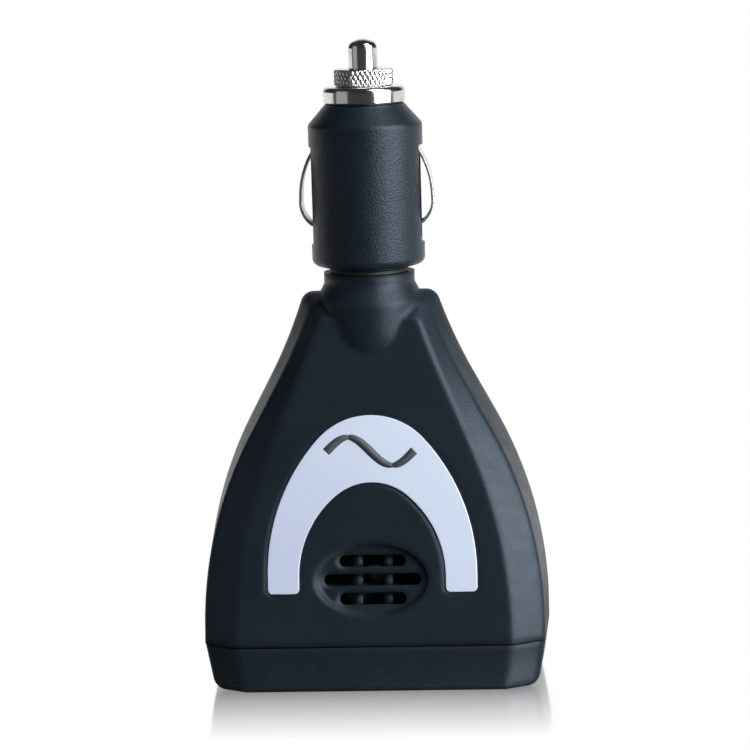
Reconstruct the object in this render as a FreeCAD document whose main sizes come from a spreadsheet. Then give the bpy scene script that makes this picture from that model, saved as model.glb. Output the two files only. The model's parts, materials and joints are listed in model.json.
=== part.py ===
"""Plug-in power inverter: a car socket plug on a swivel neck over a flared two-shell housing.

Millimetres. +Z runs up the plug's axis, the vented front face looks towards -Y, and the
origin is the centre of the base that the inverter stands on.
"""

import FreeCAD, Part
import os
import re
import Sketcher
from math import cos, radians, sin, tan

Vector = FreeCAD.Vector
Rotation = FreeCAD.Rotation
Placement = FreeCAD.Placement

SIZES = {
    # housing: two shells that flare from the neck to the base
    "body_half_width": 31.9,
    "body_half_depth": 20.5,
    "seam_height": 9.2,
    "shell_top": 71.6,
    "wall": 2.0,
    "seam_gap": 0.15,
    "split_gap": 0.06,
    "face_lean": 12.2,
    "back_lean": 8.0,
    "bevel_depth": 3.2,
    "edge_round": 1.0,
    # the shells' outlines at the parting plane, at the side's crease and on the flat face:
    # how far in the foot is, the straight run, the flare's arc and angle, the waist's arc,
    # the horn's angle and corner, and how far below the shell's top the outline ends
    "parting_in": 0.0,
    "parting_run": 3.2,
    "parting_flare_radius": 76.0,
    "parting_flare": 28.3,
    "parting_waist_radius": 94.0,
    "parting_horn": 19.0,
    "parting_corner": 2.6,
    "parting_drop": 0.0,
    "crease_in": 0.9,
    "crease_run": 3.3,
    "crease_flare_radius": 72.0,
    "crease_flare": 28.3,
    "crease_waist_radius": 96.0,
    "crease_horn": 20.0,
    "crease_corner": 2.4,
    "crease_drop": 1.4,
    "face_in": 6.7,
    "face_run": 0.5,
    "face_flare_radius": 94.0,
    "face_flare": 21.8,
    "face_waist_radius": 300.0,
    "face_horn": 19.5,
    "face_corner": 1.6,
    "face_drop": 4.4,
    # neck: a domed barrel moulded half into each shell, with the swivel collar on top
    "neck_radius": 9.9,
    "neck_dome_height": 64.7,
    "neck_cone_height": 70.0,
    "collar_height": 73.1,
    "collar_radius": 8.35,
    "collar_top": 75.1,
    "collar_floor": 69.55,
    "neck_pocket_radius": 7.9,
    "neck_pocket_floor": 66.0,
    # end cap and the lip that locates it inside the shells
    "cap_inset": 1.4,
    "cap_corner": 3.0,
    "cap_round": 2.7,
    "cap_lip_height": 12.0,
    "cap_lip_wall": 1.4,
    "lip_gap": 0.15,
    "lip_draft": 0.75,
    "seat_depth": 1.6,
    "seat_bite": 0.4,
    # screws through the shells, and the cross recess as shares of a head's size
    "screw_upper_x": 8.8,
    "screw_upper_height": 60.2,
    "screw_lower_x": 21.2,
    "screw_lower_height": 16.4,
    "screw_radius": 1.2,
    "screw_head_radius": 2.3,
    "screw_head_length": 1.7,
    "screw_seat": 8.0,
    "screw_reach": 6.5,
    "thread_gap": 0.03,
    "shank_gap": 0.1,
    "head_gap": 0.35,
    "pilot_spare": 0.4,
    "drive_reach": 0.62,
    "drive_groove": 0.16,
    "drive_floor": 0.4,
    "post_radius": 3.2,
    "ear_half": 1.0,
    "ear_reach": 3.6,
    "ear_top": 19.6,
    "ear_gap": 0.1,
    # gap between faces that rest on each other, and how far a cutter runs past the part
    "seat_gap": 0.05,
    "beyond": 60.0,
    # label arch and vent on the leaning front face, heights measured along the face
    "label_foot": 9.6,
    "label_half_width": 19.0,
    "label_inner_half": 13.3,
    "label_rise": 32.2,
    "label_inner_rise": 20.0,
    "label_spring": 3.6,
    "label_inner_spring": 3.0,
    "label_crown_radius": 13.0,
    "label_inner_crown": 10.0,
    "label_thickness": 0.7,
    "label_recess": 0.5,
    "label_gap": 0.12,
    "label_corner": 0.9,
    "vent_height": 12.0,
    "vent_half_width": 10.15,
    "vent_half_height": 6.45,
    "vent_depth": 0.8,
    "vent_backing": 1.2,
    "slot_half": 1.08,
    "slot_pitch": 3.42,
    "slot_long": 17.7,
    "slot_short": 12.1,
    "rib_width": 1.7,
    "rib_depth": 1.6,
    "rib_sink": 2.6,
    "rib_offset": 2.75,
    # plug: the barrel, the guide band that fits the socket, and the swivel spigot
    "barrel_radius": 10.45,
    "barrel_draft": 0.06,
    "plug_bottom": 76.4,
    "plug_round": 1.4,
    "band_bottom": 98.6,
    "band_top": 101.8,
    "shoulder_round": 1.1,
    "shoulder_in": 0.35,
    "plug_shoulder": 102.6,
    "plug_top": 105.8,
    "plug_top_radius": 7.3,
    "channel_half": 3.5,
    "channel_floor": 9.85,
    "channel_bottom": 80.2,
    "channel_top": 98.3,
    "window_half": 2.95,
    "window_bottom": 81.2,
    "window_top": 98.6,
    "spigot_radius": 5.2,
    "spigot_bottom": 66.4,
    "spigot_bore": 3.9,
    "flange_radius": 7.4,
    "flange_bottom": 67.7,
    "flange_top": 69.4,
    "running_gap": 0.08,
    "washer_gap": 0.15,
    "hub_radius": 7.2,
    "hub_height": 75.8,
    "cavity_radius": 8.2,
    "cavity_bottom": 82.4,
    "cavity_top": 98.8,
    "sleeve_radius": 4.2,
    "sleeve_bore": 2.75,
    "plug_screw_x": 6.3,
    "plug_screw_height": 79.6,
    "plug_screw_radius": 0.9,
    "plug_screw_head": 1.7,
    "plug_screw_head_length": 1.2,
    "plug_screw_seat": 4.0,
    "plug_screw_reach": 4.2,
    # nose: bushing, knurled cap, pin and fuse
    "bushing_radius": 7.55,
    "bushing_lift": 0.1,
    "bushing_bevel": 0.4,
    "bushing_round": 0.9,
    "bushing_top": 109.1,
    "bushing_bottom": 101.2,
    "bushing_spigot": 4.55,
    "bushing_bore": 4.0,
    "cap_radius": 5.4,
    "cap_bevel": 0.3,
    "cap_top": 112.2,
    "cap_thread": 3.95,
    "cap_bore": 2.72,
    "cap_step": 108.6,
    "cap_skirt_bottom": 104.6,
    "cap_counterbore": 3.25,
    "pin_radius": 2.65,
    "pin_top": 117.6,
    "pin_rim": 1.3,
    "pin_dome": 4.0,
    "pin_flange_radius": 3.1,
    "pin_flange_top": 108.5,
    "pin_flange_height": 1.0,
    "pin_foot": 103.45,
    "pin_stem_radius": 2.3,
    "fuse_radius": 2.6,
    "fuse_length": 20.0,
    "fuse_gap": 0.02,
    "fuse_cap_length": 4.5,
    "fuse_cap_wall": 0.25,
    "fuse_cap_floor": 0.3,
    "fuse_glass": 0.43,
    "fuse_wire_radius": 0.15,
    "spring_wire": 0.3,
    "spring_radius": 2.1,
    "spring_turns": 4.0,
    "rear_contact_bottom": 77.35,
    "rear_contact_top": 77.95,
    "rear_contact_bite": 0.1,
    # side contacts: bowed strips in the plug's channels. Each point along a strip, from its
    # anchor down to its free tail, is so far out from the axis and so high up
    "strip_half_width": 2.6,
    "strip_thickness": 0.45,
    "strip_anchor_out": 7.7,
    "strip_anchor_up": 97.9,
    "strip_elbow_out": 9.25,
    "strip_elbow_up": 97.9,
    "strip_elbow_middle_out": 9.6,
    "strip_elbow_middle_up": 97.75,
    "strip_bow_start_out": 9.75,
    "strip_bow_start_up": 97.35,
    "strip_bow_upper_out": 11.35,
    "strip_bow_upper_up": 93.7,
    "strip_crest_out": 12.05,
    "strip_crest_up": 88.9,
    "strip_bow_lower_out": 11.55,
    "strip_bow_lower_up": 85.9,
    "strip_bow_end_out": 10.2,
    "strip_bow_end_up": 84.2,
    "strip_tail_out": 8.5,
    "strip_tail_up": 83.4,
    # outlet in the base
    "outlet_half_x": 11.5,
    "outlet_half_y": 12.0,
    "outlet_face": 0.5,
    "outlet_body_bottom": 3.0,
    "outlet_flange_top": 4.2,
    "outlet_flange_reach": 1.0,
    "outlet_top": 19.0,
    "boss_in": 1.0,
    "window_in": 0.9,
    "blade_x": 6.35,
    "blade_y": 4.0,
    "blade_slot_wide": 2.2,
    "live_slot": 7.2,
    "neutral_slot": 8.6,
    "earth_y": -7.86,
    "earth_hole_radius": 2.6,
    "earth_gap": 0.15,
    "earth_sleeve_length": 10.0,
    "pocket_floor": 7.0,
    "pocket_half_x": 2.0,
    "pocket_half_y": 4.8,
    "contact_wall": 0.6,
    "clip_half_x": 1.7,
    "clip_half_y": 4.4,
    "clip_bottom": 8.0,
    "clip_top": 18.5,
    "tab_half_width": 1.2,
    "tab_half_thick": 0.3,
    "tab_bottom": 17.9,
    "tab_top": 21.5,
    "led_x": -17.5,
    "led_y": 8.0,
    "led_radius": 1.5,
    "led_gap": 0.08,
    "led_bottom": 0.4,
    "led_length": 6.0,
    "led_rim": 0.6,
    "led_rim_height": 1.0,
    # circuit board, and the ledges it rests against
    "board_front": 7.0,
    "board_thickness": 1.6,
    "board_bottom": 21.6,
    "board_shoulder": 37.0,
    "board_top": 56.2,
    "board_half_bottom": 20.5,
    "board_half_top": 11.5,
    "ledge_radius": 2.4,
    "ledge_x": 17.0,
    "ledge_height": 26.0,
    "ledge_upper_height": 51.5,
    # transformer
    "core_width": 20.0,
    "core_depth": 10.0,
    "core_bottom": 24.0,
    "core_height": 17.0,
    "core_back": 4.0,
    "core_leg": 6.0,
    "core_window": 3.6,
    "core_yoke": 3.4,
    "bobbin_gap": 0.1,
    "bobbin_wall": 0.5,
    "bobbin_flange": 0.9,
    "flange_reach": 2.4,
    "coil_reach": 2.2,
    "coil_side_gap": 0.3,
    # heat sink and power transistors
    "sink_plate": 1.6,
    "sink_bottom": 43.0,
    "sink_top": 53.0,
    "sink_half_width": 11.6,
    "fin_pitch": 2.0,
    "fin_thickness": 0.8,
    "fin_depth": 5.4,
    "transistor_x": 7.2,
    "transistor_half": 4.0,
    "transistor_tab": 1.3,
    "transistor_depth": 3.3,
    "transistor_height": 7.6,
    # capacitors and the control chip
    "can_waist_out": 0.35,
    "can_waist_round": 0.6,
    "can_waist_up": 2.0,
    "input_can_radius": 4.0,
    "input_can_x": -15.6,
    "input_can_height": 27.2,
    "input_can_pitch": 9.2,
    "input_can_length": 11.0,
    "output_can_radius": 5.0,
    "output_can_x": 15.6,
    "output_can_height": 29.5,
    "output_can_length": 13.0,
    "chip_left": 12.4,
    "chip_width": 6.2,
    "chip_bottom": 37.0,
    "chip_height": 6.5,
    "chip_depth": 3.6,
    "chip_standoff": 0.5,
    "chip_leg_height": 2.0,
    "chip_leg_out": 0.7,
    "chip_leg_width": 0.6,
    "chip_leg_pitch": 1.6,
    # leads
    "lead_radius": 0.9,
    "lead_x": 1.5,
    "lead_bend": 2.4,
    "lead_landing": 54.8,
    "lead_top_gap": 1.0,
    "outlet_lead_radius": 0.8,
    "outlet_lead_bend": 0.85,
    "outlet_lead_start": 19.6,
    "outlet_lead_rise": 1.3,
    "outlet_lead_behind": 1.2,
}

doc = FreeCAD.newDocument("power_inverter")
sheet = doc.addObject("Spreadsheet::Sheet", "Sizes")
for row, (alias, number) in enumerate(SIZES.items(), start=1):
    sheet.set(f"A{row}", alias)
    sheet.set(f"B{row}", str(number))
    sheet.setAlias(f"B{row}", alias)
doc.recompute()

FINISHED = []


# ---------------------------------------------------------------- sheet and document helpers

def size(alias):
    """The sheet's number for an alias."""
    return float(sheet.get(alias))


def formula(text):
    """A formula in aliases, written the way an expression names the sheet's cells."""
    def cell(match):
        word = match.group()
        return f"Sizes.{word}" if word in SIZES else word
    return re.sub(r"[A-Za-z_]\w*", cell, str(text))


def number(text):
    """The value of a formula in aliases."""
    return float(sheet.evalExpression(formula(text)))


def finish(thing, label):
    """Marks a document object as one finished sub-part."""
    thing.Label = label
    FINISHED.append(thing)
    return thing


def place(thing, at, turn=None):
    """Binds a placement's base to three formulas, with an optional (axis, degrees) turn."""
    if turn:
        thing.Placement = Placement(Vector(), Rotation(Vector(*turn[0]), turn[1]))
    for axis, text in zip("xyz", at):
        thing.setExpression(f"Placement.Base.{axis}", formula(text))
    return thing


def block(name, low, high):
    """A box between two corners, each three formulas."""
    box = doc.addObject("Part::Box", name)
    for side, start, end in zip(("Length", "Width", "Height"), low, high):
        box.setExpression(side, formula(f"({end}) - ({start})"))
    return place(box, low)


ALONG = {"x": ((0, 1, 0), 90), "y": ((1, 0, 0), -90), "z": None}


def rod(name, radius, at, length, axis="z"):
    """A cylinder from a point along +X, +Y or +Z."""
    cylinder = doc.addObject("Part::Cylinder", name)
    cylinder.setExpression("Radius", formula(radius))
    cylinder.setExpression("Height", formula(length))
    return place(cylinder, at, ALONG[axis])


def join(name, *things):
    """The union of several objects."""
    union = doc.addObject("Part::MultiFuse", name)
    union.Shapes = list(things)
    return union


def overlap(name, *things):
    """What several objects have in common."""
    common = doc.addObject("Part::MultiCommon", name)
    common.Shapes = list(things)
    return common


def cut(name, base, *tools):
    """The base with every tool taken away."""
    remainder = doc.addObject("Part::Cut", name)
    remainder.Base = base
    remainder.Tool = tools[0] if len(tools) == 1 else join(name + "_tools", *tools)
    return remainder


def shaped(name, shape):
    """A feature whose shape is worked out from the sheet's numbers."""
    feature = doc.addObject("Part::Feature", name)
    feature.Shape = shape
    return feature


def group(name, things):
    """Separate solids that share one node."""
    compound = doc.addObject("Part::Compound", name)
    compound.Links = list(things)
    return compound


# ---------------------------------------------------------------- sketch helpers

def origin_plane(body, role):
    """One of a body's own origin planes."""
    return next(f for f in body.Origin.OriginFeatures if f.Role == role)


def arc_between(start, end, radius):
    """A short arc between two points; a positive radius has its centre on the left."""
    chord = end - start
    reach = (radius * radius - chord.Length ** 2 / 4) ** 0.5
    left = Vector(-chord.y, chord.x, 0).normalize()
    side = 1 if radius > 0 else -1
    centre = start + chord * 0.5 + left * reach * side
    middle = centre + (start + chord * 0.5 - centre).normalize() * abs(radius)
    return Part.Arc(start, middle, end)


def draw_loop(sketch, corners):
    """A closed loop of corners (x, y) or (x, y, radius of the arc to the next corner)."""
    points = [Vector(number(c[0]), number(c[1]), 0) for c in corners]
    first = sketch.GeometryCount
    count = len(corners)
    for i, corner in enumerate(corners):
        start, end = points[i], points[(i + 1) % count]
        if len(corner) > 2:
            sketch.addGeometry(arc_between(start, end, number(corner[2])), False)
        else:
            sketch.addGeometry(Part.LineSegment(start, end), False)
    ends = {}
    for i, corner in enumerate(corners):
        backwards = len(corner) > 2 and number(corner[2]) < 0
        ends[i] = (2, 1) if backwards else (1, 2)
    for i, corner in enumerate(corners):
        following = (i + 1) % count
        sketch.addConstraint(Sketcher.Constraint(
            "Coincident", first + i, ends[i][1], first + following, ends[following][0]))
        for kind, text, value in zip(("DistanceX", "DistanceY"), corner, points[i]):
            index = sketch.addConstraint(Sketcher.Constraint(
                kind, -1, 1, first + i, ends[i][0], value))
            sketch.setExpression(f"Constraints[{index}]", formula(text))
        if len(corner) > 2:
            radius = abs(number(corner[2]))
            index = sketch.addConstraint(Sketcher.Constraint("Radius", first + i, radius))
            sketch.setExpression(f"Constraints[{index}]", formula(f"abs({corner[2]})"))


def sketch_on(body, role, name, loops):
    """A sketch of closed loops on one of the body's origin planes."""
    sketch = body.newObject("Sketcher::SketchObject", name)
    sketch.AttachmentSupport = [(origin_plane(body, role), "")]
    sketch.MapMode = "FlatFace"
    for loop in loops:
        draw_loop(sketch, loop)
    return sketch


def turned(name, *loops):
    """A body of revolution about Z, from loops of (radius, height) corners."""
    body = doc.addObject("PartDesign::Body", name)
    sketch = sketch_on(body, "XZ_Plane", name + "_profile", loops)
    revolution = body.newObject("PartDesign::Revolution", name + "_revolution")
    revolution.Profile = sketch
    revolution.ReferenceAxis = (sketch, ["V_Axis"])
    revolution.Angle = 360
    sketch.Visibility = False
    return body


def padded(name, role, length, *loops, both_ways=False):
    """A body padded from loops on an origin plane."""
    body = doc.addObject("PartDesign::Body", name)
    sketch = sketch_on(body, role, name + "_outline", loops)
    pad = body.newObject("PartDesign::Pad", name + "_pad")
    pad.Profile = sketch
    pad.setExpression("Length", formula(length))
    pad.Midplane = both_ways
    return body


# ---------------------------------------------------------------- housing form

def side_outline(width, low_run, low_radius, lean, high_radius, high_lean, corner, top):
    """A closed outline in XY: a flared bottle shape with its foot on y = 0.

    Each side climbs straight for low_run, leans in along an arc of low_radius to the lean
    angle, runs straight, turns back to high_lean and rounds a corner into the flat top.
    """
    low, high = radians(lean), radians(high_lean)
    foot = Vector(width, 0, 0)
    knee = Vector(width, low_run, 0)
    low_centre = knee - Vector(low_radius, 0, 0)
    flank = low_centre + Vector(cos(low), sin(low), 0) * low_radius
    rise = top - flank.y - high_radius * (sin(low) - sin(high)) - corner * (1 - sin(high))
    waist = flank + Vector(-sin(low), cos(low), 0) * (rise / cos(low))
    high_centre = waist + Vector(cos(low), sin(low), 0) * high_radius
    shoulder = high_centre - Vector(cos(high), sin(high), 0) * high_radius
    corner_centre = shoulder - Vector(cos(high), sin(high), 0) * corner
    crown = corner_centre + Vector(0, corner, 0)

    def on_circle(centre, radius, angle):
        return centre + Vector(cos(angle), sin(angle), 0) * radius

    low_middle = on_circle(low_centre, low_radius, low / 2)
    high_middle = on_circle(high_centre, -high_radius, (low + high) / 2)
    corner_middle = on_circle(corner_centre, corner, (high + radians(90)) / 2)

    def mirrored(point):
        return Vector(-point.x, point.y, 0)

    right = [
        Part.makeLine(foot, knee),
        Part.Arc(knee, low_middle, flank).toShape(),
        Part.makeLine(flank, waist),
        Part.Arc(waist, high_middle, shoulder).toShape(),
        Part.Arc(shoulder, corner_middle, crown).toShape(),
    ]
    left = [
        Part.Arc(mirrored(crown), mirrored(corner_middle), mirrored(shoulder)).toShape(),
        Part.Arc(mirrored(shoulder), mirrored(high_middle), mirrored(waist)).toShape(),
        Part.makeLine(mirrored(waist), mirrored(flank)),
        Part.Arc(mirrored(flank), mirrored(low_middle), mirrored(knee)).toShape(),
        Part.makeLine(mirrored(knee), mirrored(foot)),
    ]
    top_edge = Part.makeLine(crown, mirrored(crown))
    bottom_edge = Part.makeLine(mirrored(foot), foot)
    return Part.Wire(right + [top_edge] + left + [bottom_edge])


def leaning_plane(depth, lean):
    """Stands an XY outline up at a depth in front of the axis, leaning back as it climbs."""
    return Placement(Vector(0, -depth, shell_foot()), Rotation(Vector(1, 0, 0), 90 - lean))


def shell_foot():
    """Height of the shells' bottom edge."""
    return size("seam_height") + size("seam_gap")


def wall_outline(which, inset, lean):
    """The parting, crease or face outline of the shells, drawn in by a wall's thickness."""
    top = size("shell_top") - shell_foot() - inset - size(which + "_drop")
    return side_outline(
        size("body_half_width") - inset - size(which + "_in"),
        size(which + "_run"),
        size(which + "_flare_radius") - inset,
        size(which + "_flare"),
        size(which + "_waist_radius") + inset,
        size(which + "_horn"),
        size(which + "_corner"),
        top / cos(radians(lean)))


def half_form(lean, inset):
    """One half of the housing as a loft from the parting outline to the leaning face."""
    depth = size("body_half_depth") - inset / cos(radians(lean))
    bevel = size("bevel_depth") / cos(radians(lean))
    parting = wall_outline("parting", inset, 0)
    crease = wall_outline("crease", inset, lean)
    face = wall_outline("face", inset, lean)
    crease.Placement = leaning_plane(depth - bevel, lean)
    face.Placement = leaning_plane(depth, lean)
    parting.Placement = leaning_plane(0, 0)
    return Part.makeLoft([parting, crease, face], True, True)


def rounded_front_edges(form, lean):
    """The form with the edges of its crease and of its face rounded."""
    slope = tan(radians(lean))
    bevel = size("bevel_depth") / cos(radians(lean))
    foot = shell_foot()
    chosen = []
    for edge in form.Edges:
        middle = edge.valueAt((edge.FirstParameter + edge.LastParameter) / 2)
        face_y = -size("body_half_depth") + (middle.z - foot) * slope
        on_outline = min(abs(middle.y - face_y), abs(middle.y - face_y - bevel)) < 0.02
        if on_outline and middle.z > foot + 0.01:
            chosen.append(edge)
    return form.makeFillet(size("edge_round"), chosen)


def turned_about(shape):
    """The shape turned half a turn about Z, from the front half to the back."""
    turned_shape = shape.copy()
    turned_shape.rotate(Vector(), Vector(0, 0, 1), 180)
    return turned_shape


def front_face_placement():
    """The leaning front face's own frame: x across, y up the face, z out of it."""
    return leaning_plane(size("body_half_depth"), size("face_lean"))


def on_front_face(thing, up, sink):
    """Lays a flat tool on the front face, at a height up it and sunk into it by formulas."""
    face = front_face_placement()
    thing.Placement = face.multiply(Placement(Vector(0, number(up), -number(sink)), Rotation()))
    return thing


# ---------------------------------------------------------------- label and vent tools

def climb(edge):
    """Height difference between an edge's two ends."""
    return abs(edge.Vertexes[0].Z - edge.Vertexes[-1].Z)


def crown_and_side(half_width, rise, spring, crown_radius):
    """Side arc radius, and the point where it meets the crown arc, both tangent."""
    lift = rise - crown_radius - spring
    side_radius = ((half_width ** 2 + lift ** 2 - crown_radius ** 2)
                   / (2 * (half_width - crown_radius)))
    direction = Vector(side_radius - half_width, lift, 0).normalize()
    meeting = Vector(half_width - side_radius, spring, 0) + direction * side_radius
    return side_radius, meeting


def arch_half(half_width, rise, spring, crown_radius):
    """The right half of an arch, from its foot up to its crown, as edges."""
    side_radius, meeting = crown_and_side(half_width, rise, spring, crown_radius)
    foot = Vector(half_width, 0, 0)
    start = Vector(half_width, spring, 0)
    crown = Vector(0, rise, 0)
    return [
        Part.makeLine(foot, start),
        arc_between(start, meeting, side_radius).toShape(),
        arc_between(meeting, crown, crown_radius).toShape(),
    ]


def arch_face(grow):
    """The arch label's outline in XY as a face, grown all round by a gap."""
    outer = arch_half(size("label_half_width") + grow, size("label_rise") + 2 * grow,
                      size("label_spring") + grow, size("label_crown_radius") + grow)
    inner = arch_half(size("label_inner_half") - grow, size("label_inner_rise"),
                      size("label_inner_spring") + grow, size("label_inner_crown") - grow)
    right_foot = Part.makeLine(inner[0].Vertexes[0].Point, outer[0].Vertexes[0].Point)
    half = Part.Wire(Part.__sortEdges__([right_foot] + outer))
    edges = list(half.Edges) + inner
    flipped = [edge.mirror(Vector(), Vector(1, 0, 0)) for edge in edges]
    outline = Part.Wire(Part.__sortEdges__(edges + flipped))
    return Part.Face(outline)


def arch_solid(name, grow, sink, thickness):
    """The arch label, or the recess for it, on the front face."""
    solid = arch_face(grow).extrude(Vector(0, 0, thickness))
    foot_corners = [edge for edge in solid.Edges
                    if climb(edge) > thickness / 2 and abs(edge.Vertexes[0].Y) < 1e-6]
    solid = solid.makeFillet(size("label_corner") + grow, foot_corners)
    return on_front_face(shaped(name, solid), f"label_foot - {grow}", sink)


def oval_slab(grow, thickness):
    """The vent's oval, grown all round, as a slab on z = 0."""
    oval = Part.Ellipse(Vector(), size("vent_half_width") + grow, size("vent_half_height") + grow)
    return Part.Face(Part.Wire([oval.toShape()])).extrude(Vector(0, 0, thickness))


def vent_tools():
    """The oval dish on the front face and its three rounded slots."""
    dish = on_front_face(shaped("vent_dish", oval_slab(0, 2 * size("vent_depth"))),
                         "vent_height", "vent_depth")
    half = size("slot_half")
    through = 3 * size("wall")
    slots = []
    for step, length in ((-1, "slot_short"), (0, "slot_long"), (1, "slot_short")):
        reach = size(length) / 2 - half
        lower = Part.makeLine(Vector(-reach, -half, 0), Vector(reach, -half, 0))
        right = arc_around(Vector(reach, 0, 0), half, -90)
        upper = Part.makeLine(Vector(reach, half, 0), Vector(-reach, half, 0))
        left = arc_around(Vector(-reach, 0, 0), half, 90)
        slot = Part.Face(Part.Wire([lower, right, upper, left])).extrude(Vector(0, 0, through))
        slot.translate(Vector(0, step * size("slot_pitch"), 0))
        slots.append(slot)
    cutter = shaped("vent_slots", Part.makeCompound(slots))
    return dish, on_front_face(cutter, "vent_height", "2 * wall")


def arc_around(centre, radius, start_angle):
    """Half a circle about a centre, anticlockwise from an angle in degrees."""
    ends = []
    for turn in (0, 90, 180):
        angle = radians(start_angle + turn)
        ends.append(centre + Vector(cos(angle), sin(angle), 0) * radius)
    return Part.Arc(*ends).toShape()


# ---------------------------------------------------------------- shells

def neck_form():
    """The neck as a turned solid: dome, barrel, cone and swivel collar."""
    return turned(
        "neck_form",
        [
            (0, "neck_dome_height - neck_radius", "neck_radius"),
            ("neck_radius", "neck_dome_height"),
            ("neck_radius", "neck_cone_height"),
            ("collar_radius", "collar_height"),
            ("collar_radius", "collar_top"),
            (0, "collar_top"),
        ])


def neck_tools():
    """The swivel pocket inside the neck and the collar's bore."""
    pocket = rod("neck_pocket", "neck_pocket_radius", (0, 0, "neck_pocket_floor"),
                 "collar_floor - neck_pocket_floor")
    bore = rod("collar_bore", "spigot_radius + running_gap", (0, 0, "collar_floor - wall"),
               "collar_top - collar_floor + 2 * wall")
    return [pocket, bore]


SIDES = (("left", -1), ("right", 1))
SCREW_PLACES = [(side, place_name) for side in (-1, 1) for place_name in ("upper", "lower")]


def on_side(name, side):
    """A name with its side's word at the end."""
    return f"{name}_{'right' if side > 0 else 'left'}"


def span(side, near, far):
    """The low and high formulas of a stretch that lies near to far on one side of the axis."""
    return (near, far) if side > 0 else (f"-({far})", f"-({near})")


def posts(name, side_of_split):
    """Four screw posts out from the split; the lower pair leaves room for the cap's ears."""
    things = []
    for side, which in SCREW_PLACES:
        gap = "ear_half + ear_gap" if which == "lower" else "split_gap"
        start = gap if side_of_split > 0 else "-beyond"
        things.append(rod(
            on_side(f"{name}_{which}", side), "post_radius",
            (f"{side} * screw_{which}_x", start, f"screw_{which}_height"),
            f"beyond - ({gap})", "y"))
    return things


def screw_bores(name, radius, start, length):
    """Four cylinders along Y on the screws' axes."""
    return [
        rod(on_side(f"{name}_{which}", side), radius,
            (f"{side} * screw_{which}_x", start, f"screw_{which}_height"), length, "y")
        for side, which in SCREW_PLACES
    ]


def make_front_shell(neck):
    """Front shell: flared half, dome, vent, label recess, ribs and screw posts."""
    lean = size("face_lean")
    outer = shaped("front_outer", rounded_front_edges(half_form(lean, 0), lean))
    hollow = shaped("front_hollow", half_form(lean, size("wall")))
    mass = join("front_mass", outer, neck)
    behind = block("behind_front", ("-beyond", "-split_gap", 0),
                   ("beyond", "beyond", "2 * beyond"))
    label_recess = arch_solid("label_pocket", size("label_gap"), "label_recess",
                              2 * size("label_thickness"))
    dish, slots = vent_tools()
    skin = cut("front_skin", mass, hollow, behind, dish, label_recess, *neck_tools())
    backing = on_front_face(
        shaped("vent_backing", oval_slab(size("vent_backing"), size("wall"))),
        "vent_height", "wall + vent_backing")
    post_mass = overlap("front_posts", mass, join("front_post_rods", *posts("front_post", -1)))
    filled = join("front_filled", skin, post_mass, backing)
    pilots = screw_bores("pilot", "screw_radius + thread_gap", "-screw_reach - pilot_spare",
                         "screw_reach + wall")
    slotted = cut("front_slotted", filled, slots, *pilots)
    ribs = overlap("vent_ribs", rib_pair(), outer)
    return finish(join("front_shell", slotted, ribs), "front_shell")


def rib_pair():
    """Two upright ribs that cross behind the vent's slots."""
    reach = size("vent_half_height")
    width = size("rib_width")
    ribs = []
    for side in (-1, 1):
        corner = Vector(side * size("rib_offset") - width / 2, -reach, 0)
        ribs.append(Part.makeBox(width, 2 * reach, size("rib_depth"), corner))
    return on_front_face(shaped("rib_bars", Part.makeCompound(ribs)), "vent_height",
                         "wall + rib_sink")


def board_ledges():
    """Rods that the circuit board rests against, low on both sides and high in the middle."""
    places = (
        ("-ledge_x", "ledge_height"),
        ("ledge_x", "ledge_height"),
        (0, "ledge_upper_height"),
    )
    return group("ledge_rods", [
        rod(f"ledge_{index}", "ledge_radius", (x, "board_front + board_thickness", z),
            "beyond", "y")
        for index, (x, z) in enumerate(places)
    ])


def make_back_shell(neck):
    """Back shell: the other half, with counterbored posts and ledges for the board."""
    outer = shaped("back_outer", turned_about(rounded_back()))
    hollow = shaped("back_hollow", turned_about(half_form(size("back_lean"), size("wall"))))
    mass = join("back_mass", outer, neck)
    ahead = block("ahead_of_back", ("-beyond", "-beyond", 0),
                  ("beyond", "split_gap", "2 * beyond"))
    skin = cut("back_skin", mass, hollow, ahead, *neck_tools())
    post_mass = overlap("back_posts", mass, join("back_post_rods", *posts("back_post", 1)))
    ledges = overlap("board_ledges", mass, board_ledges())
    filled = join("back_filled", skin, post_mass, ledges)
    shanks = screw_bores("shank_hole", "screw_radius + shank_gap", 0, "screw_seat + 1")
    heads = screw_bores("head_hole", "screw_head_radius + head_gap", "screw_seat", "beyond")
    return finish(cut("back_shell", filled, *shanks, *heads), "back_shell")


def rounded_back():
    """The back half's form, built facing front, with its edges rounded."""
    lean = size("back_lean")
    return rounded_front_edges(half_form(lean, 0), lean)


# ---------------------------------------------------------------- end cap

def plan_outline(height, inset):
    """The housing's plan section at a height, as a closed wire with ten corners."""
    full = size("body_half_width") - inset
    depth = size("body_half_depth") - inset
    front_bevel = size("bevel_depth") / cos(radians(size("face_lean")))
    back_bevel = size("bevel_depth") / cos(radians(size("back_lean")))
    right = [
        (full - size("face_in"), -depth),
        (full - size("crease_in"), -depth + front_bevel),
        (full, 0),
        (full - size("crease_in"), depth - back_bevel),
        (full - size("face_in"), depth),
    ]
    corners = right + [(-x, y) for x, y in reversed(right)]
    points = [Vector(x, y, height) for x, y in corners]
    return Part.makePolygon(points + points[:1])


def cap_form(bottom, top, inset):
    """The end cap's block between two heights, drawn in towards the base."""
    spread = size("cap_inset") / size("seam_height")
    low = plan_outline(bottom, inset + spread * (size("seam_height") - bottom))
    high = plan_outline(top, inset + spread * (size("seam_height") - top))
    return Part.makeLoft([low, high], True, True)


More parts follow.
